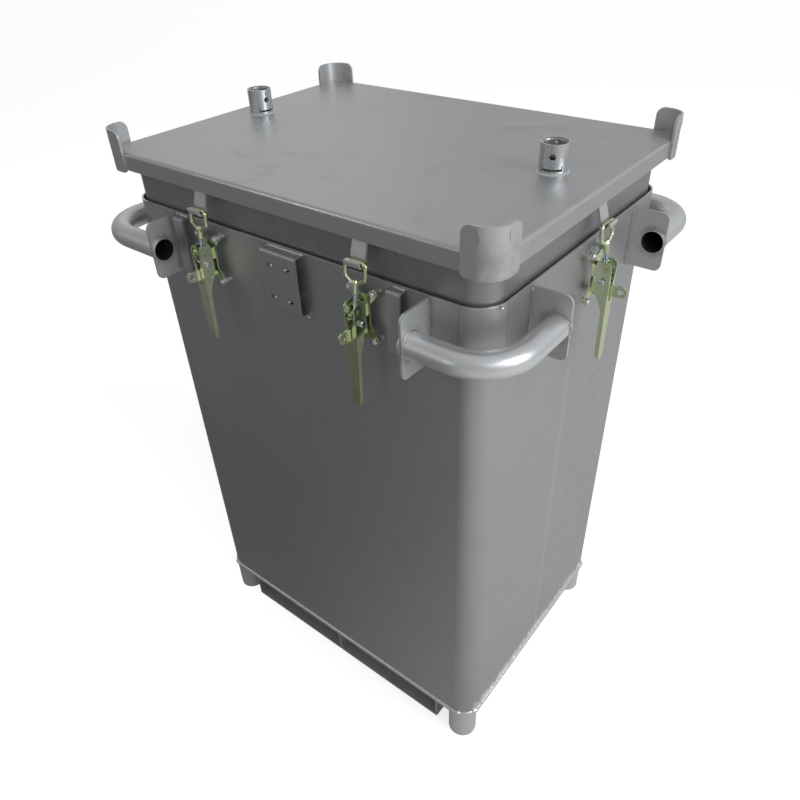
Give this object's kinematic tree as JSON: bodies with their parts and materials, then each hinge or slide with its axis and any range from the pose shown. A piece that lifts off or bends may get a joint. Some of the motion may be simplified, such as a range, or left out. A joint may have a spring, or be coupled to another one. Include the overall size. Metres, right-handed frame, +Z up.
{
  "type": "lithium battery transport box",
  "caption": "Tall stainless steel transport box with a lift-off lid, toggle latches, corner tube handles, vents, stacking corners and fork pockets.",
  "frame": {"origin": "middle of the footprint, on the ground that the feet stand on", "axes": "+Z up; -Y is the front with the slotted bracket; +X is the long side's right"},
  "size_m": [0.913, 0.713, 1.217],
  "materials": {
    "stainless": "satin, pickled",
    "stud_steel": "plain",
    "zinc_yellow": "yellow chromated zinc",
    "zinc_blue": "blue chromated zinc",
    "gasket_rubber": "matt",
    "valve_steel": "sintered"
  },
  "bodies": {
    "box": {"body_shell": "stainless", "floor_plate": "stainless", "collar_band": "stainless", "fork_pocket_left": "stainless", "fork_pocket_right": "stainless", "foot_front_left": "stainless", "foot_front_right": "stainless", "foot_rear_left": "stainless", "foot_rear_right": "stainless", "foot_plates": "stainless", "handle_front_left": "stainless", "handle_front_right": "stainless", "handle_rear_left": "stainless", "handle_rear_right": "stainless", "handle_plates_front_left": "stainless", "handle_plates_front_right": "stainless", "handle_plates_rear_left": "stainless", "handle_plates_rear_right": "stainless", "slotted_bracket": "stainless", "bracket_studs": "stud_steel", "strap_loop_left": "stainless", "strap_loop_right": "stainless", "latch_studs": "stud_steel", "latch_nuts": "stud_steel", "latch_rivets": "zinc_yellow", "latch_base_front_left": "zinc_yellow", "latch_base_front_right": "zinc_yellow", "latch_base_rear_right": "zinc_yellow", "latch_base_rear_left": "zinc_yellow", "latch_base_right": "zinc_yellow", "latch_base_left": "zinc_yellow"},
    "lid": {"lid_pan": "stainless", "lid_skirt": "stainless", "lid_gasket": "gasket_rubber", "corner_guides": "stainless", "latch_hooks": "stainless", "vent_left": "stainless", "vent_right": "stainless", "vent_flanges": "stainless", "vent_valves": "valve_steel"},
    "latch_lever_front_left": {"lever_front_left": "zinc_yellow"},
    "latch_bow_front_left": {"bow_front_left": "zinc_yellow", "stem_front_left": "zinc_blue"},
    "latch_lever_front_right": {"lever_front_right": "zinc_yellow"},
    "latch_bow_front_right": {"bow_front_right": "zinc_yellow", "stem_front_right": "zinc_blue"},
    "latch_lever_rear_right": {"lever_rear_right": "zinc_yellow"},
    "latch_bow_rear_right": {"bow_rear_right": "zinc_yellow", "stem_rear_right": "zinc_blue"},
    "latch_lever_rear_left": {"lever_rear_left": "zinc_yellow"},
    "latch_bow_rear_left": {"bow_rear_left": "zinc_yellow", "stem_rear_left": "zinc_blue"},
    "latch_lever_right": {"lever_right": "zinc_yellow"},
    "latch_bow_right": {"bow_right": "zinc_yellow", "stem_right": "zinc_blue"},
    "latch_lever_left": {"lever_left": "zinc_yellow"},
    "latch_bow_left": {"bow_left": "zinc_yellow", "stem_left": "zinc_blue"}
  },
  "joints": [
    {"name": "lid_lift", "type": "slide", "parent": "box", "child": "lid", "axis": [0, 0, 1], "range_m": [0, 0.3]},
    {"name": "lever_open_front_left", "type": "hinge", "parent": "box", "child": "latch_lever_front_left", "pos_m": [-0.159, -0.3205, 1.042], "axis": [-1, 0, 0], "range_deg": [0, 90]},
    {"name": "bow_swing_front_left", "type": "hinge", "parent": "latch_lever_front_left", "child": "latch_bow_front_left", "pos_m": [-0.159, -0.3185, 1.024], "axis": [-1, 0, 0], "range_deg": [-76, 0]},
    {"name": "lever_open_front_right", "type": "hinge", "parent": "box", "child": "latch_lever_front_right", "pos_m": [0.181, -0.3205, 1.042], "axis": [-1, 0, 0], "range_deg": [0, 90]},
    {"name": "bow_swing_front_right", "type": "hinge", "parent": "latch_lever_front_right", "child": "latch_bow_front_right", "pos_m": [0.181, -0.3185, 1.024], "axis": [-1, 0, 0], "range_deg": [-76, 0]},
    {"name": "lever_open_rear_right", "type": "hinge", "parent": "box", "child": "latch_lever_rear_right", "pos_m": [0.159, 0.3205, 1.042], "axis": [1, 0, 0], "range_deg": [0, 90]},
    {"name": "bow_swing_rear_right", "type": "hinge", "parent": "latch_lever_rear_right", "child": "latch_bow_rear_right", "pos_m": [0.159, 0.3185, 1.024], "axis": [1, 0, 0], "range_deg": [-76, 0]},
    {"name": "lever_open_rear_left", "type": "hinge", "parent": "box", "child": "latch_lever_rear_left", "pos_m": [-0.181, 0.3205, 1.042], "axis": [1, 0, 0], "range_deg": [0, 90]},
    {"name": "bow_swing_rear_left", "type": "hinge", "parent": "latch_lever_rear_left", "child": "latch_bow_rear_left", "pos_m": [-0.181, 0.3185, 1.024], "axis": [1, 0, 0], "range_deg": [-76, 0]},
    {"name": "lever_open_right", "type": "hinge", "parent": "box", "child": "latch_lever_right", "pos_m": [0.4205, 0.004, 1.042], "axis": [0, -1, 0], "range_deg": [0, 90]},
    {"name": "bow_swing_right", "type": "hinge", "parent": "latch_lever_right", "child": "latch_bow_right", "pos_m": [0.4185, 0.004, 1.024], "axis": [0, -1, 0], "range_deg": [-76, 0]},
    {"name": "lever_open_left", "type": "hinge", "parent": "box", "child": "latch_lever_left", "pos_m": [-0.4205, -0.004, 1.042], "axis": [0, 1, 0], "range_deg": [0, 90]},
    {"name": "bow_swing_left", "type": "hinge", "parent": "latch_lever_left", "child": "latch_bow_left", "pos_m": [-0.4185, -0.004, 1.024], "axis": [0, 1, 0], "range_deg": [-76, 0]}
  ],
  "couplings": [
    {"joint": "bow_swing_front_left", "follows": "lever_open_front_left", "ratio": -0.84},
    {"joint": "bow_swing_front_right", "follows": "lever_open_front_right", "ratio": -0.84},
    {"joint": "bow_swing_rear_right", "follows": "lever_open_rear_right", "ratio": -0.84},
    {"joint": "bow_swing_rear_left", "follows": "lever_open_rear_left", "ratio": -0.84},
    {"joint": "bow_swing_right", "follows": "lever_open_right", "ratio": -0.84},
    {"joint": "bow_swing_left", "follows": "lever_open_left", "ratio": -0.84}
  ]
}
